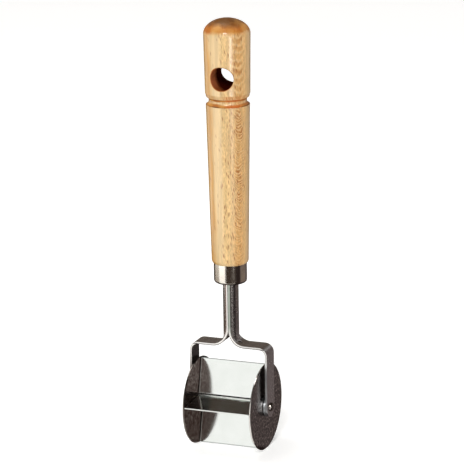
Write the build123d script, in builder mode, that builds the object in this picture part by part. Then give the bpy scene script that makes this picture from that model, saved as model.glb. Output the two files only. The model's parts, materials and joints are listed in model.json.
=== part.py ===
import os
from math import asin, cos, degrees, hypot, pi, radians, sin, sqrt

from build123d import *

os.makedirs("parts", exist_ok=True)

# A rolling cutter for square ravioli: a roller with four cross blades between two discs
# spins in a fork of two steel strips, on a turned beech handle.
# The origin is the centre of the hanging hole, with +Z along the handle to its domed end,
# X along the roller's axle and -Y towards the user.

# Roller, in millimetres and degrees as everywhere below
pocket_length = 40.0            # one side of the square, between the inner faces of the discs
disc_thickness = 0.9
disc_edge_chamfer = 0.2
blade_thickness = 0.6
blade_edge_inset = 0.26         # how far the cutting edges stay inside the disc rim
blade_end_gap = 0.35            # between the sheets' ends and the discs, bridged by the tabs
blade_bend_distance = 4.5       # from the axle's centre to the corner of the bent sheet
blade_bend_radius = 2.0         # inside of the bend
tab_length = 3.0                # tabs of the blades, fixed in slots of the discs
tab_inset = 8.5                 # from the cutting edge to the tab
tab_clearance = 0.02
roller_rest_angle = 5.0         # the top blade leans back by this much

# Axle and washers
axle_radius = 1.8
running_clearance = 0.05        # between the axle and the holes of the discs
fixed_clearance = 0.02          # between the axle and what stays still on it
head_overhang = 0.85            # peened ends of the axle, beyond its radius
head_height = 2.1
washer_radius = 5.8
washer_thickness = 1.5
washer_edge_chamfer = 0.25
side_play = 0.2                 # between washer and disc

# Fork strips
strip_thickness = 1.2
strip_width = 11.6              # in the shoulder and the arm
stem_width = 10.0               # across both edges of the strip in the stem
rib_radius = 4.55               # half-round rib pressed out of each strip along the stem
seam_gap = 0.3                  # between the two strips along the stem
stem_length = 36.5              # from the ferrule to the top of the shoulder
flare_radius = 8.4              # turn from the stem into the shoulder, on its upper face
rib_end_radius = 4.5            # sharper turn of the rib, which makes it run out in the flare
arm_bend_radius = 3.8           # turn from the shoulder into the arm, on its inner face
rim_to_shoulder = 10.0          # room between the disc rim and the shoulder
tang_length = 52.0              # part of the strips above the ferrule's lower end
tang_clearance = 0.05           # round the stem, in the wood and in the ferrule

# Ferrule
ferrule_radius = 9.52
ferrule_length = 11.6
ferrule_wall = 0.8
ferrule_corner_radius = 1.6
spigot_clearance = 0.02         # between the wood and the ferrule's wall

# Handle
grip_length = 93.0              # from the groove's lower lip to the ferrule
grip_top_radius = 12.52
grip_step = 1.1                 # wood outside the ferrule
grip_seat_margin = 0.2          # flat wood around the ferrule's top edge
grip_end_rounding = 2.0         # height of the rounding above the ferrule
groove_radius = 2.45
groove_depth = 1.7
groove_lip_drop = 0.3           # upper lip of the groove, under the grip's top radius
crown_chamfer_height = 2.2
crown_bottom_radius = 12.82
crown_top_radius = 13.35
hole_to_groove = 14.25
hole_to_dome = 24.6             # from the hanging hole to the base of the dome
dome_height = 8.1
dome_crease_angle = 5.0         # where the dome starts on its ellipse
hanging_hole_radius = 6.7
hanging_hole_edge_round = 0.5
handle_turn = 4.5               # the hole's axis is turned by this much against the roller

# Heights, down from the hanging hole
groove_z = -hole_to_groove
grip_lip_z = groove_z - sqrt(2 * groove_radius * groove_depth - groove_depth**2)
grip_bottom_z = grip_lip_z - grip_length
ferrule_bottom_z = grip_bottom_z - ferrule_length
shoulder_z = ferrule_bottom_z - stem_length
disc_radius = 2 * pocket_length / pi
axle_z = shoulder_z - strip_thickness - rim_to_shoulder - disc_radius

# Places along the axle, out from the middle
disc_inner_x = pocket_length / 2
disc_outer_x = disc_inner_x + disc_thickness
washer_inner_x = disc_outer_x + side_play
arm_inner_x = washer_inner_x + washer_thickness
arm_outer_x = arm_inner_x + strip_thickness

# Peened head of the axle
head_radius = axle_radius + head_overhang

# Middle line of the strip in the stem, the shoulder and the arm, and its turns
stem_middle = seam_gap / 2 + strip_thickness / 2
shoulder_middle = shoulder_z - strip_thickness / 2
arm_middle = arm_inner_x + strip_thickness / 2
flare_turn = flare_radius + strip_thickness / 2
arm_turn = arm_bend_radius + strip_thickness / 2

# Planes across the axle, the second turned with the blades
axle_plane = Plane(origin=(0, 0, axle_z), x_dir=(0, 1, 0), z_dir=(1, 0, 0))
rest_angle = radians(roller_rest_angle)
blade_plane = Plane(
    origin=(0, 0, axle_z), x_dir=(0, cos(rest_angle), -sin(rest_angle)), z_dir=(1, 0, 0)
)

# Middle line of one bent sheet: upper edge, bend corner, front edge
blade_edge_radius = disc_radius - blade_edge_inset
bend_corner = blade_bend_distance / sqrt(2)
sheet_line = [(0, blade_edge_radius), (-bend_corner, bend_corner), (-blade_edge_radius, 0)]

# The tabs lie in line with the two flats of the sheet
flat_angle = degrees(asin(bend_corner / sqrt(bend_corner**2 + (blade_edge_radius - bend_corner) ** 2)))
tab_middle = tab_inset + tab_length / 2
tab_along = tab_middle * sin(radians(flat_angle))
tab_down = blade_edge_radius - tab_middle * cos(radians(flat_angle))
upper_tab = Location((-tab_along, tab_down), 90 - flat_angle)
front_tab = Location((-tab_down, tab_along), flat_angle)
half_turn = Location((0, 0), 180)
front_tabs = [upper_tab, front_tab]
rear_tabs = [half_turn * upper_tab, half_turn * front_tab]

# Turned beech handle: dome, crown, groove, tapered grip, spigot and tang bore
crown_chamfer_z = groove_z + sqrt(groove_radius**2 - (groove_radius - groove_depth + groove_lip_drop) ** 2)
crown_bottom_z = crown_chamfer_z + crown_chamfer_height
dome_lift = dome_height / (1 - sin(radians(dome_crease_angle)))
grip_bottom_radius = ferrule_radius + grip_step
grip_seat_radius = ferrule_radius + grip_seat_margin
grip_rounding_z = grip_bottom_z + grip_end_rounding
spigot_radius = ferrule_radius - ferrule_wall - spigot_clearance
spigot_bottom_z = ferrule_bottom_z + ferrule_corner_radius
stem_half_depth = seam_gap / 2 + strip_thickness
bore_radius = hypot(stem_half_depth, stem_width / 2) + tang_clearance
tang_top_z = ferrule_bottom_z + tang_length
hole_plane = Plane(
    origin=(0, 0, 0),
    x_dir=(cos(radians(handle_turn)), sin(radians(handle_turn)), 0),
    z_dir=(sin(radians(handle_turn)), -cos(radians(handle_turn)), 0),
)

with BuildPart() as handle:
    with BuildSketch(Plane.XZ):
        with BuildLine():
            dome = EllipticalCenterArc(
                (0, hole_to_dome + dome_height - dome_lift),
                crown_top_radius / cos(radians(dome_crease_angle)),
                dome_lift,
                90,
                arc_size=dome_crease_angle - 90,
            )
            upper_lip = (grip_top_radius - groove_lip_drop, crown_chamfer_z)
            lower_lip = (grip_top_radius, grip_lip_z)
            Polyline(dome @ 1, (crown_bottom_radius, crown_bottom_z), upper_lip)
            ThreePointArc(upper_lip, (grip_top_radius - groove_depth, groove_z), lower_lip)
            taper = Line(lower_lip, (grip_bottom_radius, grip_rounding_z))
            rounding = TangentArc(
                taper @ 1, (grip_seat_radius, grip_bottom_z), tangent=taper % 1
            )
            Polyline(
                rounding @ 1,
                (spigot_radius, grip_bottom_z),
                (spigot_radius, spigot_bottom_z),
                (bore_radius, spigot_bottom_z),
                (bore_radius, tang_top_z),
                (0, tang_top_z),
                dome @ 0,
            )
        make_face()
    revolve(axis=Axis.Z)
    with BuildSketch(hole_plane):
        Circle(hanging_hole_radius)
    extrude(amount=2 * crown_top_radius, both=True, mode=Mode.SUBTRACT)
    mouths = handle.edges(Select.LAST).filter_by(GeomType.LINE, reverse=True)
    fillet(mouths, hanging_hole_edge_round)

# Ferrule: a drawn cup with a hole in the shape of the stem
with BuildPart() as ferrule:
    with BuildSketch(Plane.XY.offset(ferrule_bottom_z)):
        Circle(ferrule_radius)
    extrude(amount=ferrule_length)
    fillet(ferrule.edges().sort_by(Axis.Z)[0], ferrule_corner_radius)
    offset(amount=-ferrule_wall, openings=ferrule.faces().sort_by(Axis.Z)[-1])
    with BuildSketch(Plane.XY.offset(ferrule_bottom_z)):
        Circle(rib_radius + tang_clearance)
        Rectangle(2 * (stem_half_depth + tang_clearance), stem_width + 2 * tang_clearance)
    extrude(amount=ferrule_wall, mode=Mode.SUBTRACT)


# Right half of the fork: one strip with a hollow rib along tang and stem, bent into shoulder
# and arm. The rib turns more sharply than the strip, so it sinks into it along the flare.
rib_end_z = shoulder_z + rib_end_radius
rib_end_axis = Axis((rib_radius + rib_end_radius, 0, rib_end_z), (0, -1, 0))

with BuildPart() as fork_arm_right:
    with BuildSketch(Plane.XY.offset(rib_end_z)) as rib:
        Circle(rib_radius)
        with Locations((stem_middle, 0)):
            Rectangle(2 * rib_radius, 2 * rib_radius, align=(Align.MIN, Align.CENTER), mode=Mode.INTERSECT)
    extrude(amount=tang_top_z - rib_end_z)
    revolve(rib.sketch, axis=rib_end_axis, revolution_arc=90)
    # Only the part of the rib above the middle of the strip stands out
    with BuildSketch(Plane.XZ):
        with BuildLine():
            stem = Line((stem_middle, tang_top_z), (stem_middle, shoulder_middle + flare_turn))
            flare = TangentArc(stem @ 1, (stem_middle + flare_turn, shoulder_middle), tangent=stem % 1)
            Polyline(flare @ 1, (arm_middle, shoulder_middle), (arm_middle, tang_top_z), stem @ 0)
        make_face()
    extrude(amount=rib_radius, both=True, mode=Mode.INTERSECT)
    # The strip, narrower in the stem
    with BuildSketch(Plane.XZ):
        with BuildLine():
            stem = Line((stem_middle, tang_top_z), (stem_middle, shoulder_middle + flare_turn))
            flare = TangentArc(stem @ 1, (stem_middle + flare_turn, shoulder_middle), tangent=stem % 1)
            shoulder = Line(flare @ 1, (arm_middle - arm_turn, shoulder_middle))
            elbow = TangentArc(shoulder @ 1, (arm_middle, shoulder_middle - arm_turn), tangent=shoulder % 1)
            Line(elbow @ 1, (arm_middle, axle_z))
        trace(line_width=strip_thickness)
    extrude(amount=strip_width / 2, both=True)
    with BuildSketch(Plane.YZ):
        with BuildLine():
            Polyline(
                (0, axle_z - strip_width),
                (strip_width / 2, axle_z - strip_width),
                (strip_width / 2, shoulder_z),
                (stem_width / 2, shoulder_z + flare_radius),
                (stem_width / 2, tang_top_z),
                (0, tang_top_z),
                close=True,
            )
        make_face()
        mirror(about=Plane.YZ)
    extrude(amount=arm_outer_x, mode=Mode.INTERSECT)
    # Hollow of the rib
    with BuildSketch(Plane.XY.offset(rib_end_z)) as hollow:
        Circle(rib_radius - strip_thickness)
    extrude(amount=tang_top_z - rib_end_z, mode=Mode.SUBTRACT)
    revolve(hollow.sketch, axis=rib_end_axis, revolution_arc=90, mode=Mode.SUBTRACT)
    # Round end of the arm, with the axle's hole
    with BuildSketch(axle_plane.offset(arm_inner_x)):
        Circle(strip_width / 2)
    extrude(amount=strip_thickness)
    with BuildSketch(axle_plane.offset(arm_inner_x)):
        Circle(axle_radius + fixed_clearance)
    extrude(amount=strip_thickness, mode=Mode.SUBTRACT)

with BuildPart() as fork_arm_left:
    mirror(fork_arm_right.part, about=Plane.YZ)

# Axle: a rod with both ends peened to a dome on the arms
with BuildPart() as axle_rod:
    with BuildSketch(Plane.XZ.shift_origin((0, 0, axle_z))):
        with BuildLine():
            head = EllipticalCenterArc((arm_outer_x, 0), head_height, head_radius, 0)
            Polyline(
                head @ 1, (arm_outer_x, axle_radius), (0, axle_radius), (0, 0), head @ 0
            )
        make_face()
        mirror(about=Plane.YZ)
    revolve(axis=Axis((0, 0, axle_z), (1, 0, 0)))

with BuildPart() as spacer_washer_right:
    with BuildSketch(axle_plane.offset(washer_inner_x)):
        Circle(washer_radius)
        Circle(axle_radius + fixed_clearance, mode=Mode.SUBTRACT)
    extrude(amount=washer_thickness)
    rims = spacer_washer_right.edges().filter_by(GeomType.CIRCLE).group_by(SortBy.RADIUS)[-1]
    chamfer(rims, washer_edge_chamfer)

with BuildPart() as spacer_washer_left:
    mirror(spacer_washer_right.part, about=Plane.YZ)

# End discs, with the axle's hole and a slot for each blade tab
with BuildPart() as end_disc_right:
    with BuildSketch(axle_plane.offset(disc_inner_x)):
        Circle(disc_radius)
    extrude(amount=disc_thickness)
    chamfer(end_disc_right.edges().filter_by(GeomType.CIRCLE), disc_edge_chamfer)
    with BuildSketch(blade_plane.offset(disc_inner_x)):
        Circle(axle_radius + running_clearance)
        with Locations(front_tabs + rear_tabs):
            Rectangle(tab_length + 2 * tab_clearance, blade_thickness + 2 * tab_clearance)
    extrude(amount=disc_thickness, mode=Mode.SUBTRACT)

with BuildPart() as end_disc_left:
    mirror(end_disc_right.part, about=Plane.YZ)

# Two of the four blades: one sheet bent round the axle, with its tabs in the discs
with BuildPart() as blade_angle_front:
    with BuildSketch(blade_plane):
        with BuildLine():
            FilletPolyline(*sheet_line, radius=blade_bend_radius + blade_thickness / 2)
        trace(line_width=blade_thickness)
    extrude(amount=disc_inner_x - blade_end_gap, both=True)
    with BuildSketch(blade_plane):
        with Locations(front_tabs):
            Rectangle(tab_length, blade_thickness)
    extrude(amount=disc_outer_x, both=True)

# The other two blades: the same sheet, half a turn round the axle
with BuildPart() as blade_angle_rear:
    add(blade_angle_front.part.rotate(Axis((0, 0, axle_z), (1, 0, 0)), 180))

pieces = {
    "handle": handle,
    "ferrule": ferrule,
    "fork_arm_left": fork_arm_left,
    "fork_arm_right": fork_arm_right,
    "axle_rod": axle_rod,
    "spacer_washer_left": spacer_washer_left,
    "spacer_washer_right": spacer_washer_right,
    "end_disc_left": end_disc_left,
    "end_disc_right": end_disc_right,
    "blade_angle_front": blade_angle_front,
    "blade_angle_rear": blade_angle_rear,
}
for name, piece in pieces.items():
    piece.part.label = name
    export_step(piece.part, f"parts/{name}.step")
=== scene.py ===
import json
import math

import bmesh
import bpy
from mathutils import Matrix, Vector


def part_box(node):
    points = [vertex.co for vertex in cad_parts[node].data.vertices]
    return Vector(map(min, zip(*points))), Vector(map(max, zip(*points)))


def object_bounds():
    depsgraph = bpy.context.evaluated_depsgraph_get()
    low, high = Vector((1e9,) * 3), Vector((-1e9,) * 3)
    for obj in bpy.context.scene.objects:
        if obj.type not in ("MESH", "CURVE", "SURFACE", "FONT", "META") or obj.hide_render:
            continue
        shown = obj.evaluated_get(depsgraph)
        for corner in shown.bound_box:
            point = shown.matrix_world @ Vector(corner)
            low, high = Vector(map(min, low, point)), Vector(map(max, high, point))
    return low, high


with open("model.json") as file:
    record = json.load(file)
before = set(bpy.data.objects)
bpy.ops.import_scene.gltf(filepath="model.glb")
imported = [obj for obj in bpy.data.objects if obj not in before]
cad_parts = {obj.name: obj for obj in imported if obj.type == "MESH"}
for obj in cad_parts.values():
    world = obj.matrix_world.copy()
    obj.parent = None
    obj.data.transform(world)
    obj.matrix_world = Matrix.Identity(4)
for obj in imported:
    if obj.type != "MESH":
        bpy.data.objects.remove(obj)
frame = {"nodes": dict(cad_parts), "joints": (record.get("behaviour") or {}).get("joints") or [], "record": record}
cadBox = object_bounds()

perMetre = 1000                       # millimetres in a metre
cad = frame["nodes"]
axleCentre = Vector(frame["joints"][0]["pos_m"])  # the roller's middle
lowest = cadBox[0][2]
discLow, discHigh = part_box("end_disc_right")
discRadius = perMetre * (discHigh.y - discLow.y) / 2
discTop = perMetre * discHigh.z
print("frame loaded,", len(cad), "nodes")


def linear(hexColour):  # sRGB hex to linear RGBA
    parts = [int(hexColour[i:i + 2], 16) / 255 for i in (1, 3, 5)]
    return [c / 12.92 if c <= 0.04045 else ((c + 0.055) / 1.055) ** 2.4 for c in parts] + [1]


def join(tree, node, links):  # from a socket, or from a node's first output in use
    for name, source in links.items():
        if isinstance(source, bpy.types.Node):
            source = next(output for output in source.outputs if output.enabled)
        tree.links.new(source, node.inputs[name])


def addNode(tree, kind, settings, links):
    # From and To give both ends of a range. A Mix takes numbers at 2 and 3, colours at 6 and 7.
    node = tree.nodes.new("ShaderNode" + kind)
    for name, value in settings.items():
        if name in ("From", "To"):
            for end, number in zip((" Min", " Max"), value):
                node.inputs[name + end].default_value = number
        elif isinstance(name, int) or name in node.inputs:
            node.inputs[name].default_value = value
        else:
            setattr(node, name, value)
    join(tree, node, links)
    return node


def newMaterial(name, settings):
    material = bpy.data.materials.new(name)
    material.use_nodes = True
    tree = material.node_tree
    shader = tree.nodes["Principled BSDF"]
    for socket, value in settings.items():
        shader.inputs[socket].default_value = value
    return material, tree, shader


def paint(material, *names):
    for name in names:
        cad[name].data.materials.clear()
        cad[name].data.materials.append(material)


def towards(turn, lift):  # unit vector from the tool, turn 0 in front and more to the right
    turn, lift = math.radians(turn), math.radians(lift)
    return Vector((math.sin(turn) * math.cos(lift), -math.cos(turn) * math.cos(lift), math.sin(lift)))


# camera, matched to the photo: the roller's middle lies at a known pixel
shot = {
    "azimuth": 21.689,
    "elevation": 15.297,
    "roll": -0.874,
    "distance": 1.9,
    "pixelsPerMetre": 1726.0,         # at the roller
    "rollerPixel": (232.505, 402.649),
    "imageSize": (464, 465),
    "sensor": 36.0,
}


def makeCamera():
    turn, tilt = math.radians(shot["azimuth"]), math.radians(shot["roll"])
    back = towards(shot["azimuth"], shot["elevation"])
    level = Vector((math.cos(turn), math.sin(turn), 0))
    upright = back.cross(level)
    right = level * math.cos(tilt) + upright * math.sin(tilt)
    up = upright * math.cos(tilt) - level * math.sin(tilt)
    width, height = shot["imageSize"]
    aside = (shot["rollerPixel"][0] - width / 2) / shot["pixelsPerMetre"]
    below = (shot["rollerPixel"][1] - height / 2) / shot["pixelsPerMetre"]
    data = bpy.data.cameras.new("photoCamera")
    data.sensor_fit = "VERTICAL"
    data.sensor_height = shot["sensor"]
    data.lens = shot["pixelsPerMetre"] * shot["distance"] / height * shot["sensor"]
    camera = bpy.data.objects.new("photoCamera", data)
    bpy.context.scene.collection.objects.link(camera)
    place = axleCentre + back * shot["distance"] - right * aside + up * below
    camera.matrix_world = Matrix.Translation(place) @ Matrix((right, up, back)).transposed().to_4x4()
    bpy.context.scene.camera = camera


makeCamera()
bpy.context.scene.view_settings.view_transform = "Standard"
print("camera set")

# studio: white floor and surround under a dim warm ceiling, a soft key in front, a softbox
# overhead, a strip lamp for the varnish, and cards, dark and bright, that only shiny faces see
studio = {
    "floorRadius": 9.0,
    "floorSides": 96,
    "floorColour": "#f1f1ef",
    "floorRoughness": 0.9,
    "floorLift": 0.45,                # own glow, so that the pale floor reads as white
    "surroundColour": "#ffffff",
    "ceilingColour": "#3a302a",
    "ceilingFrom": (0.27, 0.5),       # sines of the elevations between which the surround darkens
    "keyTurn": 10.0,                  # degrees about the tool, 0 in front, more to the right
    "keyLift": 38.0,
    "keySize": 16.0,
    "keyStrength": 1.8,
    "topTurn": -103.0,
    "topLift": 68.0,
    "topDistance": 1.1,
    "topAim": 1.0,                    # share of the way from the hanging hole down to the axle
    "topSize": (0.66, 0.66),
    "topPower": 5.0,
    "stripTurn": 38.0,
    "stripLift": 0.0,
    "stripDistance": 0.8,
    "stripAim": 0.5,
    "stripSize": (0.16, 0.3),
    "stripPower": 0.9,
    "cardGap": 0.0002,                # from the floor to a card, and from a card to one on it
    "cardSteps": 24,
    # from and to in degrees, distance from and to, height at the far end, colour, glow
    "wideCards": (
        (-9, 34, 0.13, 1.6, 0.03, "#42362f", 1.0),
        (34, 56, 0.13, 1.6, 0.03, "#5a504a", 1.0),
        (56, 92, 0.0212, 1.6, 1.0, "#362b2a", 1.0),
        (92, 172, 0.0212, 1.6, 0.62, "#706665", 1.0),
        (172, 212, 0.0212, 1.6, 1.1, "#6a6058", 1.0),
        (212, 242, 0.0212, 1.6, 0.62, "#3a302a", 1.0),
        (242, 298, 0.0212, 0.335, 0.001, "#5d4636", 1.0),
        (242, 256, 0.335, 0.405, 0.001, "#857868", 1.0),
        (256, 282, 0.335, 0.405, 0.001, "#d8cdc0", 1.0),
        (282, 298, 0.335, 0.405, 0.001, "#e0d9cf", 1.0),
    ),
    "upperCards": (                   # on the wide ones, four for the ferrule and three for varnish
        (-17, 14, 0.33, 0.405, 0.001, "#463a2f", 1.02),
        (34, 56, 0.33, 0.405, 0.001, "#3c312b", 1.02),
        (60, 86, 0.33, 0.405, 0.001, "#2c231f", 1.02),
        (96, 140, 0.33, 0.405, 0.001, "#8f8075", 1.02),
        (-65, -17, 0.41, 1.0, 0.001, "#fffaf2", 3.4),
        (36, 48, 0.5, 0.8, 0.001, "#fffaf2", 1.3),
        (33, 53, 0.81, 0.94, 0.001, "#fffaf2", 5.2),
    ),
}


def meshObject(name, mesh, material):
    shape = bpy.data.meshes.new(name)
    mesh.to_mesh(shape)
    mesh.free()
    shape.materials.append(material)
    piece = bpy.data.objects.new(name, shape)
    bpy.context.scene.collection.objects.link(piece)
    return piece


def makeFloor():
    material, tree, shader = newMaterial("matt white card", {
        "Base Color": linear(studio["floorColour"]),
        "Roughness": studio["floorRoughness"],
        "Specular IOR Level": 0.0,
        "Emission Color": linear("#ffffff"),
    })
    path = addNode(tree, "LightPath", {}, {})
    seen = path.outputs["Is Camera Ray"]
    for way in ("Is Glossy Ray", "Is Transmission Ray"):
        seen = addNode(tree, "Math", {"operation": "MAXIMUM"}, {0: seen, 1: path.outputs[way]})
    lift = addNode(tree, "Math", {"operation": "MULTIPLY", 1: studio["floorLift"]}, {0: seen})
    join(tree, shader, {"Emission Strength": lift})
    mesh = bmesh.new()
    bmesh.ops.create_circle(
        mesh, cap_ends=True, segments=studio["floorSides"], radius=studio["floorRadius"])
    bmesh.ops.translate(mesh, verts=mesh.verts, vec=(0, 0, lowest))
    meshObject("floor", mesh, material)


def makeCard(layer, first, last, near, far, height, colour, glow):
    material = newMaterial("card at %d degrees" % first, {
        "Base Color": linear("#000000"),
        "Specular IOR Level": 0.0,
        "Emission Color": linear(colour),
        "Emission Strength": glow,
    })[0]
    mesh = bmesh.new()
    rise = layer * studio["cardGap"]
    line = [mesh.verts.new(towards(first, 0) * away + Vector((0, 0, lowest + up)))
            for away, up in ((near, rise), (far, rise), (far, rise + height))]
    edges = [mesh.edges.new(pair) for pair in zip(line, line[1:])]
    bmesh.ops.spin(mesh, geom=line + edges, cent=(0, 0, 0), axis=(0, 0, 1),
                   angle=math.radians(last - first), steps=studio["cardSteps"])
    bmesh.ops.recalc_face_normals(mesh, faces=mesh.faces)
    card = meshObject("card at %d" % first, mesh, material)
    card.visible_camera = card.visible_diffuse = card.visible_shadow = False


def makeWorld():
    world = bpy.data.worlds.new("studio")
    bpy.context.scene.world = world
    world.use_nodes = True
    tree = world.node_tree
    direction = addNode(tree, "TexCoord", {}, {})
    height = addNode(tree, "SeparateXYZ", {}, {0: direction.outputs["Generated"]})
    ceiling = addNode(tree, "MapRange", {
        "interpolation_type": "SMOOTHSTEP",
        "From": studio["ceilingFrom"],
    }, {"Value": height.outputs["Z"]})
    colour = addNode(tree, "Mix", {
        "data_type": "RGBA",
        6: linear(studio["surroundColour"]),
        7: linear(studio["ceilingColour"]),
    }, {0: ceiling})
    join(tree, tree.nodes["Background"], {"Color": colour})


def makeLamps():
    key = bpy.data.objects.new("softKey", bpy.data.lights.new("softKey", "SUN"))
    key.data.energy = studio["keyStrength"]
    key.data.angle = math.radians(studio["keySize"])
    aim = towards(studio["keyTurn"], studio["keyLift"])
    key.rotation_euler = aim.to_track_quat("Z", "Y").to_euler()
    bpy.context.scene.collection.objects.link(key)
    for name in ("top", "strip"):
        lamp = bpy.data.objects.new(name + "Lamp", bpy.data.lights.new(name + "Lamp", "AREA"))
        lamp.data.shape = "RECTANGLE"
        lamp.data.size, lamp.data.size_y = studio[name + "Size"]
        lamp.data.energy = studio[name + "Power"]
        aim = towards(studio[name + "Turn"], studio[name + "Lift"])
        lamp.location = axleCentre * studio[name + "Aim"] + aim * studio[name + "Distance"]
        lamp.rotation_euler = aim.to_track_quat("Z", "Y").to_euler()
        bpy.context.scene.collection.objects.link(lamp)


makeFloor()
for layer, cards in enumerate((studio["wideCards"], studio["upperCards"]), 1):
    for card in cards:
        makeCard(layer, *card)
makeWorld()
makeLamps()
print("studio lit")


def inMillimetres(tree, places, turn=0.0, centre=(0, 0, 0)):
    # Object coordinates in millimetres about a centre, turned about Z
    moved = addNode(tree, "VectorMath", {"operation": "SUBTRACT", 1: centre},
                    {0: places.outputs["Object"]})
    return addNode(tree, "Mapping", {
        "Rotation": (0, 0, math.radians(turn)),
        "Scale": (perMetre, perMetre, perMetre),
    }, {0: moved})


def stretched(tree, space, size):  # measured in grains of a size, in millimetres
    return addNode(tree, "VectorMath", {
        "operation": "MULTIPLY",
        1: [1 / length for length in size],
    }, {0: space})


def fromLine(tree, space, across):  # distance from a line, by the axes that lie across it
    flat = addNode(tree, "VectorMath", {"operation": "MULTIPLY", 1: across}, {0: space})
    return addNode(tree, "VectorMath", {"operation": "LENGTH"}, {0: flat})


# turned beech under clear varnish: honey wood whose tone changes round the handle, fine upright grain,
# dark flecks in front, a rippled reddish flame to the right of them, patchy orange end grain on dome
# and groove, and a brown bore with painted shade deep in it and painted light on its left wall
beech = {
    "round": (                        # degrees about the handle, 0 in front, more to the right
        (-180, "#e5bc7a"),            # behind, the same at both ends
        (-62, "#eab75f"),
        (-36, "#d09332"),
        (-22, "#dab679"),
        (-4, "#d5b47c"),
        (14, "#e6c186"),
        (25, "#d8b37d"),
        (32, "#e0b980"),
        (42, "#d6a869"),
        (54, "#dba865"),
        (70, "#e5b97a"),
        (88, "#e5c08d"),
        (180, "#e5bc7a"),
    ),
    "ior": 1.5,
    "shine": 0.5,
    "roughness": (0.3, 0.48),
    "varnish": 0.9,
    "varnishRoughness": 0.15,
    "pithTurn": 20.0,
    "drift": (3, 3, 6),               # how far the grain bends, in millimetres like all sizes here
    "driftSize": 25.0,                # from one bend to the next
    "wander": 7.0,                    # degrees by which the tones stray
    "wanderSize": (6, 6, 30),
    "wanderRange": (0.3, 0.7),        # of the noise, from least to most
    "grainSize": (1.3, 1.3, 60),
    "grainRange": (0.33, 0.67),
    "grainLight": (1.1, 0.86),        # of the early and of the late wood
    "strokeSize": (0.5, 0.5, 2),
    "strokeRange": (0.38, 0.62),
    "strokeLight": (0.13, -0.12),     # added to the lightness
    "strokeSector": (-8, 6, 66, 88),  # degrees where the strokes begin, are full, fade and end
    "fleck": "#8c4406",
    "fleckSize": (0.8, 8.0, 4.6),     # drawn coarser than the real 0.3 mm, to show
    "fleckTilt": 7.0,
    "fleckFade": (0.14, 0.4),         # from the middle of a fleck to its end
    "fleckSector": (-12, 8, 40, 66),
    "fleckOften": (0.05, 0.64),       # outside and inside the sector
    "fleckLuck": (0.8, 1.1),          # what a fleck needs to show faintly, and in full
    "fleckShare": 0.85,
    "poreDepth": 0.03,
    "poreStrength": 0.15,
    "flame": "#a9602a",
    "flameDark": (-0.5, 0.9),         # part of a ripple that is reddish
    "flamePale": "#f2d9ae",
    "flameBright": (-0.3, -0.95),     # part of it that is pale
    "flameBrightShare": 0.4,
    "flameTurn": 50.0,                # middle of the ripples, and how far they reach
    "flameReach": 13.0,
    "flameSector": (27, 42, 60, 74),
    "flameHeight": 1.9,               # from one ripple to the next, in millimetres
    "shake": 3.0,                     # how many ripples they stray
    "shakeSize": 4.0,
    "lickSize": 7.0,                  # patches where the flame is stronger
    "lickRange": (0.42, 0.6),
    "lickShare": (0.24, 0.95),
    "speckSize": 2.2,                 # specks that break it up
    "speckRange": (0.34, 0.56),
    "speckShare": (0.2, 1),
    "lowFrom": (-0.108, -0.07),       # between which it fades, in metres like all heights here
    "lowShare": 0.4,                  # strength left at the ferrule
    "crownFrom": (-0.0145, -0.014),   # heights in the groove, under the crown
    "crownFlameHeight": 4.6,
    "crownArch": 0.35,                # how much flatter and fainter the ripples are there
    "crownFlame": 0.62,
    "patchSize": 7.0,                 # patches of end grain
    "patchRange": (0.36, 0.6),
    "raggedness": 0.5,                # of their borders
    "endPale": "#c68a42",
    "endGrain": "#b06428",
    "endTop": "#58321a",
    "endFrom": (0.42, 0.72),          # how far the face turns up or down
    "endShare": 0.9,
    "endHeight": (-0.06, -0.04),      # none below
    "crestFrom": (0.95, 1.18),        # the dark top of the dome
    "crestShare": 0.92,
    "groove": "#c4682f",
    "grooveFrom": (0.0, -0.005),      # heights, going down
    "grooveSector": (0, 20, 50, 70),
    "bored": "#8f4c26",               # low in the bore: raw end grain, darkened by painted shade
    "boredLeft": "#bd6c42",           # painted light on its left wall, paler than below
    # painted shade deep in the bore
    "boredDark": "#3c0d03",
    "boredEdge": (0.05, 0.35),        # beyond the hole's radius
    "boredLeftFrom": (-3, -6.5),      # where the painted light begins, left of the hole's middle
    "boredSlant": 1.15,               # the painted shade begins further in on the left wall than below
    "boredDarkFrom": (-9, -4),        # where the painted shade begins, along the hole, less than 0 in front of its middle
    "fibre": 5.0,                     # by how much that strays
    "fibreSize": 4.0,
}


def handlePlaces(tree):
    places = addNode(tree, "TexCoord", {}, {})
    space = inMillimetres(tree, places, -beech["pithTurn"])
    # a little drift, so that no line runs dead straight
    drift = addNode(tree, "TexNoise", {"Scale": 1 / beech["driftSize"], "Detail": 2.0},
                    {"Vector": space})
    drifted = addNode(tree, "VectorMath", {"operation": "MULTIPLY_ADD", 1: beech["drift"]},
                      {0: drift.outputs["Color"], 2: space})
    # degrees about the handle, wandering a little along it
    spot = addNode(tree, "SeparateXYZ", {}, {0: places.outputs["Object"]})
    front = addNode(tree, "Math", {"operation": "MULTIPLY", 1: -1.0}, {0: spot.outputs["Y"]})
    turn = addNode(tree, "Math", {"operation": "ARCTAN2"}, {0: spot.outputs["X"], 1: front})
    wander = addNode(tree, "TexNoise", {"Scale": 1.0, "Detail": 3.0},
                     {"Vector": stretched(tree, drifted, beech["wanderSize"])})
    sway = addNode(tree, "MapRange", {
        "From": beech["wanderRange"],
        "To": (-beech["wander"], beech["wander"]),
    }, {"Value": wander})
    degrees = addNode(tree, "Math", {"operation": "MULTIPLY_ADD", 1: math.degrees(1)},
                      {0: turn, 2: sway})
    return {"places": places, "space": space, "drifted": drifted, "degrees": degrees,
            "height": spot.outputs["Z"]}


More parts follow.
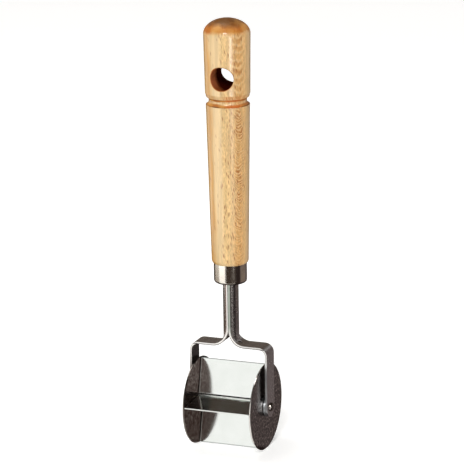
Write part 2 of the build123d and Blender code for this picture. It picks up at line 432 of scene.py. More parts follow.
def sector(tree, at, angles):  # 1 between the middle two of four angles, 0 outside the others
    first, full, last, end = angles
    rise = addNode(tree, "MapRange", {"From": (first, full)}, {"Value": at["degrees"]})
    fall = addNode(tree, "MapRange", {"From": (last, end), "To": (1, 0)}, {"Value": at["degrees"]})
    return addNode(tree, "Math", {"operation": "MULTIPLY"}, {0: rise, 1: fall})


def addGrain(tree, at):  # tones round the handle, and upright grain
    share = addNode(tree, "MapRange", {"From": (-180, 180)}, {"Value": at["degrees"]})
    ramp = addNode(tree, "ValToRGB", {}, {0: share})
    stops = ramp.color_ramp.elements
    while len(stops) < len(beech["round"]):
        stops.new(0.5)
    for stop, (angle, tone) in zip(stops, beech["round"]):
        stop.position = (angle + 180) / 360
        stop.color = linear(tone)
    grain = addNode(tree, "TexNoise", {"Scale": 1.0, "Detail": 5.0, "Roughness": 0.6},
                    {"Vector": stretched(tree, at["drifted"], beech["grainSize"])})
    light = addNode(tree, "MapRange", {"From": beech["grainRange"], "To": beech["grainLight"]},
                    {"Value": grain})
    return grain, addNode(tree, "VectorMath", {"operation": "SCALE"}, {0: ramp, "Scale": light})


def addStrokes(tree, at, colour):  # fine short strokes in front
    strokes = addNode(tree, "TexNoise", {"Scale": 1.0, "Detail": 1.0},
                      {"Vector": stretched(tree, at["drifted"], beech["strokeSize"])})
    stroke = addNode(tree, "MapRange", {"From": beech["strokeRange"], "To": beech["strokeLight"]},
                     {"Value": strokes})
    light = addNode(tree, "Math", {"operation": "MULTIPLY_ADD", 2: 1.0},
                    {0: stroke, 1: sector(tree, at, beech["strokeSector"])})
    return addNode(tree, "VectorMath", {"operation": "SCALE"}, {0: colour, "Scale": light})


def addFlecks(tree, at, colour):  # short dark flecks, leaning a little, most of them in front
    lean = addNode(tree, "Mapping", {"Rotation": (0, math.radians(beech["fleckTilt"]), 0)},
                   {0: at["drifted"]})
    cells = addNode(tree, "TexVoronoi", {"Scale": 1.0, "Randomness": 1.0},
                    {"Vector": stretched(tree, lean, beech["fleckSize"])})
    dash = addNode(tree, "MapRange", {"From": beech["fleckFade"], "To": (1, 0)},
                   {"Value": cells.outputs["Distance"]})
    chance = addNode(tree, "SeparateXYZ", {}, {0: cells.outputs["Color"]})
    often = addNode(tree, "MapRange", {"To": beech["fleckOften"]},
                    {"Value": sector(tree, at, beech["fleckSector"])})
    luck = addNode(tree, "Math", {"operation": "ADD"}, {0: chance.outputs["X"], 1: often})
    chosen = addNode(tree, "MapRange", {"From": beech["fleckLuck"]}, {"Value": luck})
    fleck = addNode(tree, "Math", {"operation": "MULTIPLY"}, {0: dash, 1: chosen})
    share = addNode(tree, "Math", {"operation": "MULTIPLY", 1: beech["fleckShare"]}, {0: fleck})
    colour = addNode(tree, "Mix", {"data_type": "RGBA", 7: linear(beech["fleck"])},
                     {0: share, 6: colour})
    return fleck, colour


def addFlame(tree, at, colour):  # arched ripples, taller and fainter on the crown
    crown = addNode(tree, "MapRange", {"From": beech["crownFrom"]}, {"Value": at["height"]})
    beside = addNode(tree, "MapRange", {
        "clamp": False,
        "From": (beech["flameTurn"], beech["flameTurn"] + beech["flameReach"]),
    }, {"Value": at["degrees"]})
    arch = addNode(tree, "Math", {"operation": "POWER", 1: 2.0}, {0: beside})
    shake = addNode(tree, "TexNoise", {"Scale": 1 / beech["shakeSize"], "Detail": 3.0},
                    {"Vector": at["space"]})
    shaken = addNode(tree, "Math", {"operation": "MULTIPLY", 1: beech["shake"]}, {0: shake})
    sag = addNode(tree, "Math", {"operation": "SUBTRACT"}, {0: shaken, 1: arch})
    ease = addNode(tree, "MapRange", {"To": (1, beech["crownArch"])}, {"Value": crown})
    bent = addNode(tree, "Math", {"operation": "MULTIPLY"}, {0: sag, 1: ease})
    ripplesPerMetre = addNode(tree, "MapRange", {
        "To": (perMetre / beech["flameHeight"], perMetre / beech["crownFlameHeight"]),
    }, {"Value": crown})
    ripples = addNode(tree, "Math", {"operation": "MULTIPLY_ADD"},
                      {0: at["height"], 1: ripplesPerMetre, 2: bent})
    cycle = addNode(tree, "Math", {"operation": "MULTIPLY", 1: 2 * math.pi}, {0: ripples})
    curl = addNode(tree, "Math", {"operation": "SINE"}, {0: cycle})
    # how strongly the ripples show, from patch to patch and along the handle
    specks = addNode(tree, "TexNoise", {"Scale": 1 / beech["speckSize"], "Detail": 1.0},
                     {"Vector": at["space"]})
    broken = addNode(tree, "MapRange", {"From": beech["speckRange"], "To": beech["speckShare"]},
                     {"Value": specks})
    strength = addNode(tree, "Mix", {3: beech["crownFlame"]}, {0: crown, 2: broken})
    fading = addNode(tree, "MapRange", {"From": beech["lowFrom"], "To": (beech["lowShare"], 1)},
                     {"Value": at["height"]})
    strength = addNode(tree, "Math", {"operation": "MULTIPLY"}, {0: strength, 1: fading})
    strength = addNode(tree, "Math", {"operation": "MULTIPLY"},
                       {0: sector(tree, at, beech["flameSector"]), 1: strength})
    gleam = addNode(tree, "TexNoise", {"Scale": 1 / beech["lickSize"], "Detail": 2.0},
                    {"Vector": at["space"]})
    licks = addNode(tree, "MapRange", {"From": beech["lickRange"], "To": beech["lickShare"]},
                    {"Value": gleam})
    dark = addNode(tree, "MapRange", {"From": beech["flameDark"]}, {"Value": curl})
    dark = addNode(tree, "Math", {"operation": "MULTIPLY"}, {0: dark, 1: licks})
    pale = addNode(tree, "MapRange", {
        "From": beech["flameBright"],
        "To": (0, beech["flameBrightShare"]),
    }, {"Value": curl})
    for share, tone in ((pale, "flamePale"), (dark, "flame")):
        share = addNode(tree, "Math", {"operation": "MULTIPLY"}, {0: share, 1: strength})
        colour = addNode(tree, "Mix", {"data_type": "RGBA", 7: linear(beech[tone])},
                         {0: share, 6: colour})
    return colour


def addEndGrain(tree, at, colour):
    # end grain drinks the varnish where the upper surfaces turn up or down, in patches
    facing = addNode(tree, "SeparateXYZ", {}, {0: at["places"].outputs["Normal"]})
    patch = addNode(tree, "TexNoise", {
        "Scale": 1 / beech["patchSize"],
        "Detail": 4.0,
        "Roughness": 0.45,
    }, {"Vector": at["space"]})
    upOrDown = addNode(tree, "Math", {"operation": "ABSOLUTE"}, {0: facing.outputs["Z"]})
    ragged = addNode(tree, "Math", {"operation": "MULTIPLY_ADD", 1: beech["raggedness"]},
                     {0: patch, 2: upOrDown})
    soaked = addNode(tree, "MapRange", {"From": beech["endFrom"], "To": (0, beech["endShare"])},
                     {"Value": ragged})
    upper = addNode(tree, "MapRange", {"From": beech["endHeight"]}, {"Value": at["height"]})
    ends = addNode(tree, "Math", {"operation": "MULTIPLY"}, {0: soaked, 1: upper})
    deep = addNode(tree, "MapRange", {"From": beech["patchRange"]}, {"Value": patch})
    tone = addNode(tree, "Mix", {
        "data_type": "RGBA",
        6: linear(beech["endPale"]),
        7: linear(beech["endGrain"]),
    }, {0: deep})
    crest = addNode(tree, "MapRange", {
        "From": beech["crestFrom"],
        "To": (0, beech["crestShare"]),
    }, {"Value": ragged})
    tone = addNode(tree, "Mix", {"data_type": "RGBA", 7: linear(beech["endTop"])},
                   {0: crest, 6: tone})
    below = addNode(tree, "MapRange", {"From": beech["grooveFrom"]}, {"Value": at["height"]})
    reddened = addNode(tree, "Math", {"operation": "MULTIPLY"},
                       {0: below, 1: sector(tree, at, beech["grooveSector"])})
    tone = addNode(tree, "Mix", {"data_type": "RGBA", 7: linear(beech["groove"])},
                   {0: reddened, 6: tone})
    return ends, addNode(tree, "Mix", {"data_type": "RGBA"}, {0: ends, 6: colour, 7: tone})


def addBore(tree, at, colour):  # the hanging hole: raw wood with painted shade deep inside and painted light on the left wall
    hole = frame["record"]["mounts"][0]
    radius = hole["dims"]["r_mm"]
    holeTurn = math.degrees(math.atan2(hole["axis"][0], -hole["axis"][1]))
    across = inMillimetres(tree, at["places"], -holeTurn, hole["pos_m"])
    bored = addNode(tree, "MapRange", {
        "From": [radius + beyond for beyond in beech["boredEdge"]],
        "To": (1, 0),
    }, {"Value": fromLine(tree, across, (1, 0, 1))})
    inward = addNode(tree, "SeparateXYZ", {}, {0: across})
    fibre = addNode(tree, "TexNoise", {"Scale": 1 / beech["fibreSize"], "Detail": 3.0},
                    {"Vector": across})
    slant = addNode(tree, "Math", {"operation": "MULTIPLY_ADD", 1: beech["boredSlant"]},
                    {0: inward.outputs["X"], 2: inward.outputs["Y"]})
    depth = addNode(tree, "Math", {"operation": "MULTIPLY_ADD", 1: beech["fibre"]},
                    {0: fibre, 2: slant})
    # painted shade deep in the bore, beginning further in on the left wall
    shadeInBore = addNode(tree, "MapRange", {"From": beech["boredDarkFrom"]}, {"Value": depth})
    # painted light on the bore's left wall
    lightOnLeftWall = addNode(tree, "MapRange", {"From": beech["boredLeftFrom"]},
                       {"Value": inward.outputs["X"]})
    tone = addNode(tree, "Mix", {
        "data_type": "RGBA",
        6: linear(beech["bored"]),
        7: linear(beech["boredLeft"]),
    }, {0: lightOnLeftWall})
    tone = addNode(tree, "Mix", {"data_type": "RGBA", 7: linear(beech["boredDark"])},
                   {0: shadeInBore, 6: tone})
    return bored, addNode(tree, "Mix", {"data_type": "RGBA"}, {0: bored, 6: colour, 7: tone})


def makeBeech():
    material, tree, shader = newMaterial("varnished beech", {
        "IOR": beech["ior"],
        "Coat Roughness": beech["varnishRoughness"],
        "Coat IOR": beech["ior"],
    })
    at = handlePlaces(tree)
    grain, colour = addGrain(tree, at)
    colour = addStrokes(tree, at, colour)
    fleck, colour = addFlecks(tree, at, colour)
    colour = addFlame(tree, at, colour)
    ends, colour = addEndGrain(tree, at, colour)
    bored, colour = addBore(tree, at, colour)
    rough = addNode(tree, "MapRange", {"To": beech["roughness"]}, {"Value": grain})
    # no varnish in the bore, and little on end grain
    raw = addNode(tree, "Math", {"operation": "MAXIMUM"}, {0: bored, 1: ends})
    coat = addNode(tree, "MapRange", {"To": (beech["varnish"], 0)}, {"Value": raw})
    shine = addNode(tree, "MapRange", {"To": (beech["shine"], 0)}, {"Value": raw})
    pores = addNode(tree, "Bump", {
        "Strength": beech["poreStrength"],
        "Distance": beech["poreDepth"] / perMetre,
        "invert": True,
    }, {"Height": fleck})
    join(tree, shader, {
        "Base Color": colour,
        "Roughness": rough,
        "Coat Weight": coat,
        "Specular IOR Level": shine,
        "Normal": pores,
    })
    paint(material, "handle")


makeBeech()
print("handle varnished")


# drawn and nickelled cup: a clean mirror with faint lines round it from the drawing die, and painted shade on the
# rounding below
nickel = {
    "light": "#dfdad1",
    "dim": "#c0bab1",
    "stainSize": 4.0,
    "worn": "#4a3f38",                # painted shade on the rounding below
    "wornFrom": (-0.1, -0.4),         # how far the face looks down
    "roughness": (0.1, 0.19),
    "lineSize": (20, 20, 0.35),       # drawn coarser than real drawing lines, to show
    "lineDepth": 0.004,
    "lineStrength": 0.5,
}


def makeNickel():
    material, tree, shader = newMaterial("drawn nickel plate", {"Metallic": 1.0})
    places = addNode(tree, "TexCoord", {}, {})
    space = inMillimetres(tree, places)
    stain = addNode(tree, "TexNoise", {"Scale": 1 / nickel["stainSize"], "Detail": 4.0},
                    {"Vector": space})
    colour = addNode(tree, "Mix", {
        "data_type": "RGBA",
        6: linear(nickel["light"]),
        7: linear(nickel["dim"]),
    }, {0: stain})
    facing = addNode(tree, "SeparateXYZ", {}, {0: places.outputs["Normal"]})
    # painted shade where the ferrule's face looks down
    under = addNode(tree, "MapRange", {"From": nickel["wornFrom"]}, {"Value": facing.outputs["Z"]})
    colour = addNode(tree, "Mix", {"data_type": "RGBA", 7: linear(nickel["worn"])},
                     {0: under, 6: colour})
    rough = addNode(tree, "MapRange", {"To": nickel["roughness"]}, {"Value": stain})
    drawn = addNode(tree, "TexNoise", {"Scale": 1.0, "Detail": 4.0},
                    {"Vector": stretched(tree, space, nickel["lineSize"])})
    lines = addNode(tree, "Bump", {
        "Strength": nickel["lineStrength"],
        "Distance": nickel["lineDepth"] / perMetre,
    }, {"Height": drawn})
    join(tree, shader, {"Base Color": colour, "Roughness": rough, "Normal": lines})
    paint(material, "ferrule")


makeNickel()
print("ferrule plated")


def piecePlaces(tree, centre):  # millimetres about a centre, and the way that a face looks
    places = addNode(tree, "TexCoord", {}, {})
    space = inMillimetres(tree, places, centre=centre)
    spot = addNode(tree, "SeparateXYZ", {}, {0: space})
    facing = addNode(tree, "SeparateXYZ", {}, {0: places.outputs["Normal"]})
    return space, spot.outputs, facing.outputs


# bent strip steel, nickelled: a soft mirror with fine grit, painted shade inside the arms, and sheared
# edges that are bright on the left and on the shoulders, greenish grey with painted shade on the right
# of the stem and dull on the arms, with painted shade on the left arm's edges and at the edges' corners
strip = {
    "skin": "#dad7d5",
    "skinDark": "#b9b5b3",
    "grit": 1.0,                      # drawn coarser than real grit, to show
    "gritRange": (0.36, 0.62),        # of the noise, from dark to light
    "gritDepth": 0.02,
    "gritStrength": 0.5,
    "roughness": (0.16, 0.32),
    "inside": 0.16,                   # painted shade: share of the skin's lightness left inside the arms
    "insideFrom": (-1.5, -0.3),       # from the middle, less than 0 on faces that look back to it
    "stemShade": 0.72,                # the stem is darker than the arms
    "stemFrom": (16, 22),             # millimetres above the discs
    "sheared": "#d3d1cf",
    "shearedGreen": "#959c94",
    # greenish grey, darkened as painted shade, on the right of the stem
    "shearedDull": "#c6c9cc",
    "shearedLeft": "#5d534d",         # painted shade on the left arm's edges
    "dullFrom": (5, -5),              # above the discs' tops
    "shearedRoughness": 0.3,
    "shearedFacing": 0.7,             # the edges look at least this far to the front or back
    "endFacing": 0.5,                 # and those round the arm's end at most this far sideways
    "burr": "#6f5448",                # painted shade on the outer corner of the left edge, in the stem
    "burrFrom": (0.55, 0.25),         # below the outer face
    "burnish": "#241d1a",             # painted shade on the inner corner of both edges
    "burnishFrom": (0.72, 0.95),
    "burnishEnd": 1.3,
    "burnishHeight": (20, 14),        # above the discs
    "stemEdge": 4.9,                  # the edges lie further than this from the middle
    "stemFace": 1.35,                 # outer face of the flats of the stem, from the middle
    "flareRadius": 8.4,
    "rimToShoulder": 11.2,            # from the discs up to the top of the shoulders
}


def stripDepth(tree, spot):  # below the outer face, the same through stem, flare and shoulder
    radius = strip["flareRadius"]
    sideways = addNode(tree, "Math", {"operation": "ABSOLUTE"}, {0: spot["X"]})
    short = []
    for place, middle in ((sideways, strip["stemFace"] + radius),
                          (spot["Z"], discTop + strip["rimToShoulder"] + radius)):
        past = addNode(tree, "Math", {"operation": "SUBTRACT", 1: middle}, {0: place})
        short.append(addNode(tree, "Math", {"operation": "MINIMUM", 1: 0.0}, {0: past}))
    corner = addNode(tree, "CombineXYZ", {}, {0: short[0], 2: short[1]})
    distance = addNode(tree, "VectorMath", {"operation": "LENGTH"}, {0: corner})
    return addNode(tree, "Math", {"operation": "SUBTRACT", 1: radius}, {0: distance})


def shearedEdge(tree, spot, facing):  # both sides of the strip, and round the arm's lower end
    aside = addNode(tree, "Math", {"operation": "ABSOLUTE"}, {0: spot["Y"]})
    outside = addNode(tree, "Math", {"operation": "GREATER_THAN", 1: strip["stemEdge"]}, {0: aside})
    forward = addNode(tree, "Math", {"operation": "ABSOLUTE"}, {0: facing["Y"]})
    frontOrBack = addNode(tree, "Math", {"operation": "GREATER_THAN", 1: strip["shearedFacing"]},
                          {0: forward})
    sides = addNode(tree, "Math", {"operation": "MULTIPLY"}, {0: outside, 1: frontOrBack})
    low = addNode(tree, "Math", {"operation": "LESS_THAN", 1: perMetre * axleCentre.z},
                  {0: spot["Z"]})
    along = addNode(tree, "Math", {"operation": "ABSOLUTE"}, {0: facing["X"]})
    upright = addNode(tree, "Math", {"operation": "LESS_THAN", 1: strip["endFacing"]}, {0: along})
    end = addNode(tree, "Math", {"operation": "MULTIPLY"}, {0: low, 1: upright})
    return addNode(tree, "Math", {"operation": "MAXIMUM"}, {0: sides, 1: end})


def shearedColour(tree, spot, stem):  # of the edges, from the stem down to the arms, with painted shade at the corners and on the left arm
    right = addNode(tree, "Math", {"operation": "GREATER_THAN", 1: 0.0}, {0: spot["X"]})
    left = addNode(tree, "Math", {"operation": "LESS_THAN", 1: 0.0}, {0: spot["X"]})
    # painted shade: the darker greenish grey on the right of the stem
    green = addNode(tree, "Math", {"operation": "MULTIPLY"}, {0: stem, 1: right})
    colour = addNode(tree, "Mix", {
        "data_type": "RGBA",
        6: linear(strip["sheared"]),
        7: linear(strip["shearedGreen"]),
    }, {0: green})
    depth = stripDepth(tree, spot)
    # painted shade on the outer corner of the left edge, in the stem
    corner = addNode(tree, "MapRange", {"From": strip["burrFrom"]}, {"Value": depth})
    burr = addNode(tree, "Math", {"operation": "MULTIPLY"}, {0: corner, 1: stem})
    burr = addNode(tree, "Math", {"operation": "MULTIPLY"}, {0: burr, 1: left})
    colour = addNode(tree, "Mix", {"data_type": "RGBA", 7: linear(strip["burr"])},
                     {0: burr, 6: colour})
    # painted shade on the inner corner of both edges
    inner = addNode(tree, "MapRange", {"From": strip["burnishFrom"]}, {"Value": depth})
    below = addNode(tree, "MapRange", {
        "From": [discTop + above for above in strip["burnishHeight"]],
    }, {"Value": spot["Z"]})
    within = addNode(tree, "Math", {"operation": "LESS_THAN", 1: strip["burnishEnd"]}, {0: depth})
    inner = addNode(tree, "Math", {"operation": "MULTIPLY"}, {0: inner, 1: below})
    inner = addNode(tree, "Math", {"operation": "MULTIPLY"}, {0: inner, 1: within})
    colour = addNode(tree, "Mix", {"data_type": "RGBA", 7: linear(strip["burnish"])},
                     {0: inner, 6: colour})
    dull = addNode(tree, "MapRange", {"From": [discTop + above for above in strip["dullFrom"]]},
                   {"Value": spot["Z"]})
    # the arms' edges, with painted shade on the left arm
    armColour = addNode(tree, "Mix", {
        "data_type": "RGBA",
        6: linear(strip["shearedLeft"]),
        7: linear(strip["shearedDull"]),
    }, {0: right})
    return addNode(tree, "Mix", {"data_type": "RGBA"}, {0: dull, 6: colour, 7: armColour})


def makeStrip():
    material, tree, shader = newMaterial("nickelled strip steel", {"Metallic": 1.0})
    space, spot, facing = piecePlaces(tree, (0, 0, 0))
    grit = addNode(tree, "TexNoise", {
        "Scale": 1 / strip["grit"],
        "Detail": 2.0,
        "Roughness": 0.6,
    }, {"Vector": space})
    tone = addNode(tree, "MapRange", {"From": strip["gritRange"]}, {"Value": grit})
    skin = addNode(tree, "Mix", {
        "data_type": "RGBA",
        6: linear(strip["skinDark"]),
        7: linear(strip["skin"]),
    }, {0: tone})
    # painted shade on the faces inside the arms
    outward = addNode(tree, "Math", {"operation": "MULTIPLY"}, {0: spot["X"], 1: facing["X"]})
    shade = addNode(tree, "MapRange", {"From": strip["insideFrom"], "To": (strip["inside"], 1)},
                    {"Value": outward})
    stem = addNode(tree, "MapRange", {"From": [discTop + above for above in strip["stemFrom"]]},
                   {"Value": spot["Z"]})
    stemShade = addNode(tree, "MapRange", {"To": (1, strip["stemShade"])}, {"Value": stem})
    shade = addNode(tree, "Math", {"operation": "MULTIPLY"}, {0: shade, 1: stemShade})
    skin = addNode(tree, "VectorMath", {"operation": "SCALE"}, {0: skin, "Scale": shade})
    edge = shearedEdge(tree, spot, facing)
    colour = addNode(tree, "Mix", {"data_type": "RGBA"},
                     {0: edge, 6: skin, 7: shearedColour(tree, spot, stem)})
    rough = addNode(tree, "MapRange", {"To": strip["roughness"]}, {"Value": grit})
    rough = addNode(tree, "Mix", {3: strip["shearedRoughness"]}, {0: edge, 2: rough})
    bump = addNode(tree, "Bump", {
        "Strength": strip["gritStrength"],
        "Distance": strip["gritDepth"] / perMetre,
    }, {"Height": grit})
    join(tree, shader, {"Base Color": colour, "Roughness": rough, "Normal": bump})
    paint(material, "fork_arm_left", "fork_arm_right")


makeStrip()
print("fork finished")


# turned steel of the washers: clean, with a soft shine
turned = {"light": "#dde1e4", "dark": "#aab0b4", "roughness": (0.34, 0.44), "grit": 0.6}

# peened rod of the axle: darker, smooth enough for small sharp lights on its heads
peened = {"light": "#b8b2ac", "dark": "#7d7772", "roughness": (0.08, 0.2), "grit": 0.8}


def makePlain(name, look, *nodes):
    material, tree, shader = newMaterial(name, {"Metallic": 1.0})
    space = inMillimetres(tree, addNode(tree, "TexCoord", {}, {}))
    grit = addNode(tree, "TexNoise", {"Scale": 1 / look["grit"], "Detail": 3.0}, {"Vector": space})
    colour = addNode(tree, "Mix", {
        "data_type": "RGBA",
        6: linear(look["light"]),
        7: linear(look["dark"]),
    }, {0: grit})
    rough = addNode(tree, "MapRange", {"To": look["roughness"]}, {"Value": grit})
    join(tree, shader, {"Base Color": colour, "Roughness": rough})
    paint(material, *nodes)


makePlain("turned steel", turned, "spacer_washer_left", "spacer_washer_right")
makePlain("peened steel rod", peened, "axle_rod")
print("axle and washers finished")


# dark sheet steel of the discs: brown-black with a coarse sparkling grit, painted shade on the inner faces
# with painted light in the upper pockets, and a dull bright line where the rim was cut, darker on the left
# disc as painted shade
sheet = {
    "dark": "#342d2a",
    "mid": "#aba29c",
    "grit": 1.3,                      # drawn coarser than real grit, to show
    "gritRange": (0.36, 0.6),         # of the noise, from dark to mid
    "gritDepth": 0.03,
    "gritStrength": 0.6,
    "sparkle": "#f4eee8",
    "sparkleRange": (0.58, 0.68),
    "roughness": (0.16, 0.28),
    "cloudSize": 9.0,                 # patches of duller steel
    "inner": "#6e6666",               # the inner faces are more even, and darker as painted shade
    "innerFrom": (-8.0, -1.0),        # from the middle, less than 0 on faces that look back to it
    "innerShare": 0.5,
    "innerShade": 0.42,
    "innerRoughness": 0.16,
    "innerUpper": 1.4,                # painted light in the upper pockets
    "innerUpperFrom": (2, 14),        # above the axle
    "grazing": "#8a8583",             # the grit of the inner faces stops the sheen at low angles
    "rim": "#d9d5cf",
    # painted shade on the left disc's rim
    "rimLeft": "#6b645f",
    "rimWidth": 0.22,
}


def addInner(tree, spot, outside, colour):  # the inner faces: painted shade, and painted light in the upper pockets
    shade = addNode(tree, "MapRange", {"To": (sheet["innerShade"], 1)}, {"Value": outside})
    colour = addNode(tree, "VectorMath", {"operation": "SCALE"}, {0: colour, "Scale": shade})
    even = addNode(tree, "MapRange", {"To": (sheet["innerShare"], 0)}, {"Value": outside})
    colour = addNode(tree, "Mix", {"data_type": "RGBA", 7: linear(sheet["inner"])},
                     {0: even, 6: colour})
    # painted light in the upper pockets
    upper = addNode(tree, "MapRange", {
        "From": sheet["innerUpperFrom"],
        "To": (1, sheet["innerUpper"]),
    }, {"Value": spot["Z"]})
    lifted = addNode(tree, "Mix", {3: 1.0}, {0: outside, 2: upper})
    return addNode(tree, "VectorMath", {"operation": "SCALE"}, {0: colour, "Scale": lifted})


def addRim(tree, space, spot, colour):  # the cut line round each disc, darker on the left disc as painted shade
    right = addNode(tree, "Math", {"operation": "GREATER_THAN", 1: 0.0}, {0: spot["X"]})
    rimColour = addNode(tree, "Mix", {
        "data_type": "RGBA",
        6: linear(sheet["rimLeft"]),
        7: linear(sheet["rim"]),
    }, {0: right})
    rim = addNode(tree, "MapRange", {
        "From": (discRadius - sheet["rimWidth"], discRadius - sheet["rimWidth"] / 2),
    }, {"Value": fromLine(tree, space, (0, 1, 1))})
    return addNode(tree, "Mix", {"data_type": "RGBA"}, {0: rim, 6: colour, 7: rimColour})


def makeSheet():
    material, tree, shader = newMaterial("dark sheet steel", {"Metallic": 1.0})
    space, spot, facing = piecePlaces(tree, axleCentre)
    grit = addNode(tree, "TexNoise", {
        "Scale": 1 / sheet["grit"],
        "Detail": 2.0,
        "Roughness": 0.6,
    }, {"Vector": space})
    tone = addNode(tree, "MapRange", {"From": sheet["gritRange"]}, {"Value": grit})
    colour = addNode(tree, "Mix", {
        "data_type": "RGBA",
        6: linear(sheet["dark"]),
        7: linear(sheet["mid"]),
    }, {0: tone})
    glint = addNode(tree, "MapRange", {"From": sheet["sparkleRange"]}, {"Value": grit})
    colour = addNode(tree, "Mix", {"data_type": "RGBA", 7: linear(sheet["sparkle"])},
                     {0: glint, 6: colour})
    outward = addNode(tree, "Math", {"operation": "MULTIPLY"}, {0: spot["X"], 1: facing["X"]})
    outside = addNode(tree, "MapRange", {"From": sheet["innerFrom"]}, {"Value": outward})
    colour = addInner(tree, spot, outside, colour)
    colour = addRim(tree, space, spot, colour)
    sheen = addNode(tree, "Mix", {
        "data_type": "RGBA",
        6: linear(sheet["grazing"]),
        7: linear("#ffffff"),
    }, {0: outside})
    cloud = addNode(tree, "TexNoise", {"Scale": 1 / sheet["cloudSize"], "Detail": 3.0},
                    {"Vector": space})
    rough = addNode(tree, "MapRange", {"To": sheet["roughness"]}, {"Value": cloud})
    rough = addNode(tree, "Mix", {2: sheet["innerRoughness"]}, {0: outside, 3: rough})
    bump = addNode(tree, "Bump", {
        "Strength": sheet["gritStrength"],
        "Distance": sheet["gritDepth"] / perMetre,
    }, {"Height": grit})
    join(tree, shader, {
        "Base Color": colour,
        "Specular Tint": sheen,
        "Roughness": rough,
        "Normal": bump,
    })
    paint(material, "end_disc_left", "end_disc_right")


makeSheet()


# bright tinplate of the blades: nearly a mirror, faintly green, softened by fine rolling
# lines, with rubbed ends beside the discs and painted shade along the bends
tinplate = {
    "bright": "#f6f8f4",
    "dull": "#e9ede7",
    "smearSize": 8.0,                 # patches of duller tin
    "roughness": (0.08, 0.16),
    "rollingSize": (12, 0.4, 0.4),
    "rollingDepth": 0.002,
    "rollingStrength": 0.12,
    "rubbed": "#a09e99",
    "rubbedWidth": 0.55,
    "rubbedRoughness": 0.5,
    "rubbedFacing": 0.6,              # not where a face looks up further than this
    "endGap": 0.35,                   # between the sheets and the discs, in millimetres
    "tabEnd": "#5a524d",
    "tabFrom": 0.1,                   # beyond the sheets' ends
    "edgeInset": 0.26,                # of the cutting edges, inside the rims
    "cutEdge": "#e2e4e0",
    "cutFrom": (0.14, 0.06),          # inside the cutting edges
    "groundEdge": "#9a9f9c",          # the upright blades' edges are duller
    "groundWidth": 0.5,
    "restAngle": 5.0,                 # the roller's turn at rest
    "bendAngle": 45.0,                # from a flat to the middle of the bend
    "bendWidth": 1.3,                 # half of the bend, from its middle line
    "bendRoughness": 0.15,            # added there
    # painted shade along the bend
    "crease": "#241f1c",
    "creaseFrom": (0.05, 0.25),       # where the painted shade along the bend begins
    "creaseWidth": 0.85,
    "creaseFade": 0.2,
    "creaseLight": 0.6,               # width of the rubbed line under the dark one
    "creaseRoughness": 0.36,
}


def acrossBend(tree, space):  # from the bend's middle line, more towards the upper flat
    lean = math.radians(tinplate["restAngle"] + tinplate["bendAngle"])
    outward = addNode(tree, "VectorMath", {
        "operation": "DOT_PRODUCT",
        1: (0, -math.cos(lean), math.sin(lean)),
    }, {0: space})
    upward = addNode(tree, "VectorMath", {
        "operation": "DOT_PRODUCT",
        1: (0, math.sin(lean), math.cos(lean)),
    }, {0: space})
    side = addNode(tree, "Math", {"operation": "SIGN"}, {0: outward})
    return addNode(tree, "Math", {"operation": "MULTIPLY"}, {0: upward, 1: side})


def bladeEnds(tree, spot, facing):  # rubbed ends of the sheets, and the tabs beyond them
    sheetEnd = perMetre * discLow.x - tinplate["endGap"]
    out = addNode(tree, "Math", {"operation": "ABSOLUTE"}, {0: spot["X"]})
    beside = addNode(tree, "MapRange", {
        "From": (sheetEnd - tinplate["rubbedWidth"], sheetEnd - tinplate["rubbedWidth"] / 2),
    }, {"Value": out})
    notUp = addNode(tree, "Math", {"operation": "LESS_THAN", 1: tinplate["rubbedFacing"]},
                    {0: facing["Z"]})
    rubbed = addNode(tree, "Math", {"operation": "MULTIPLY"}, {0: beside, 1: notUp})
    tab = addNode(tree, "Math", {"operation": "GREATER_THAN", 1: sheetEnd + tinplate["tabFrom"]},
                  {0: out})
    return rubbed, tab


def bladeEdges(tree, space, spot):  # all cutting edges, and the upright blades' own
    reach = fromLine(tree, space, (0, 1, 1))
    edgeReach = discRadius - tinplate["edgeInset"]
    cut = addNode(tree, "MapRange", {
        "From": [edgeReach - inset for inset in tinplate["cutFrom"]],
    }, {"Value": reach})
    ground = addNode(tree, "MapRange", {
        "From": (edgeReach - tinplate["groundWidth"], edgeReach - tinplate["groundWidth"] / 2),
    }, {"Value": reach})
    height = addNode(tree, "Math", {"operation": "ABSOLUTE"}, {0: spot["Z"]})
    upright = addNode(tree, "Math", {"operation": "GREATER_THAN", 1: edgeReach / 2}, {0: height})
    return cut, addNode(tree, "Math", {"operation": "MULTIPLY"}, {0: ground, 1: upright})


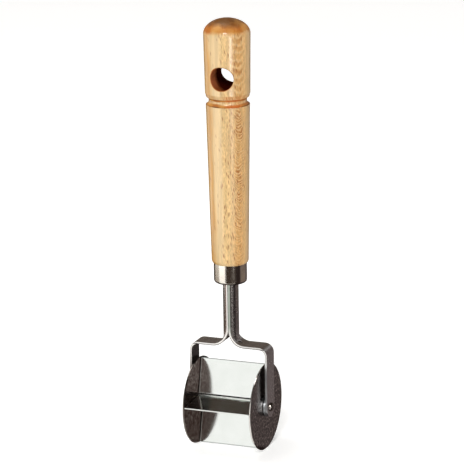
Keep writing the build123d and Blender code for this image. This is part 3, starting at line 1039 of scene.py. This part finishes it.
def bladeBend(tree, space):  # the bend, the painted shade along it and the rubbed line under that
    across = acrossBend(tree, space)
    fromBend = addNode(tree, "Math", {"operation": "ABSOLUTE"}, {0: across})
    bend = addNode(tree, "Math", {"operation": "LESS_THAN", 1: tinplate["bendWidth"]}, {0: fromBend})
    start = addNode(tree, "MapRange", {"From": tinplate["creaseFrom"]}, {"Value": across})
    end = addNode(tree, "MapRange", {
        "From": (tinplate["creaseWidth"], tinplate["creaseWidth"] + tinplate["creaseFade"]),
        "To": (1, 0),
    }, {"Value": across})
    crease = addNode(tree, "Math", {"operation": "MULTIPLY"}, {0: start, 1: end})
    underDark = addNode(tree, "Math", {"operation": "LESS_THAN", 1: tinplate["creaseFrom"][0]},
                        {0: across})
    overFlat = addNode(tree, "Math", {"operation": "GREATER_THAN", 1: -tinplate["creaseLight"]},
                       {0: across})
    light = addNode(tree, "Math", {"operation": "MULTIPLY"}, {0: underDark, 1: overFlat})
    return bend, crease, light


def makeTinplate():
    material, tree, shader = newMaterial("bright tinplate", {"Metallic": 1.0})
    space, spot, facing = piecePlaces(tree, axleCentre)
    smear = addNode(tree, "TexNoise", {"Scale": 1 / tinplate["smearSize"], "Detail": 3.0},
                    {"Vector": space})
    colour = addNode(tree, "Mix", {
        "data_type": "RGBA",
        6: linear(tinplate["bright"]),
        7: linear(tinplate["dull"]),
    }, {0: smear})
    rubbed, tab = bladeEnds(tree, spot, facing)
    cut, ground = bladeEdges(tree, space, spot)
    bend, crease, light = bladeBend(tree, space)
    for share, tone in ((rubbed, "rubbed"), (cut, "cutEdge"), (ground, "groundEdge"),
                        (crease, "crease"), (tab, "tabEnd")):
        colour = addNode(tree, "Mix", {"data_type": "RGBA", 7: linear(tinplate[tone])},
                         {0: share, 6: colour})
    rough = addNode(tree, "MapRange", {"To": tinplate["roughness"]}, {"Value": smear})
    bendRough = addNode(tree, "Math", {"operation": "MULTIPLY", 1: tinplate["bendRoughness"]},
                        {0: bend})
    rough = addNode(tree, "Math", {"operation": "ADD"}, {0: rough, 1: bendRough})
    rough = addNode(tree, "Mix", {3: tinplate["creaseRoughness"]}, {0: light, 2: rough})
    worn = addNode(tree, "Math", {"operation": "MAXIMUM"}, {0: rubbed, 1: cut})
    rough = addNode(tree, "Mix", {3: tinplate["rubbedRoughness"]}, {0: worn, 2: rough})
    rolled = addNode(tree, "TexNoise", {"Scale": 1.0, "Detail": 3.0},
                     {"Vector": stretched(tree, space, tinplate["rollingSize"])})
    bump = addNode(tree, "Bump", {
        "Strength": tinplate["rollingStrength"],
        "Distance": tinplate["rollingDepth"] / perMetre,
    }, {"Height": rolled})
    join(tree, shader, {"Base Color": colour, "Roughness": rough, "Normal": bump})
    paint(material, "blade_angle_front", "blade_angle_rear")


makeTinplate()
print("roller finished")
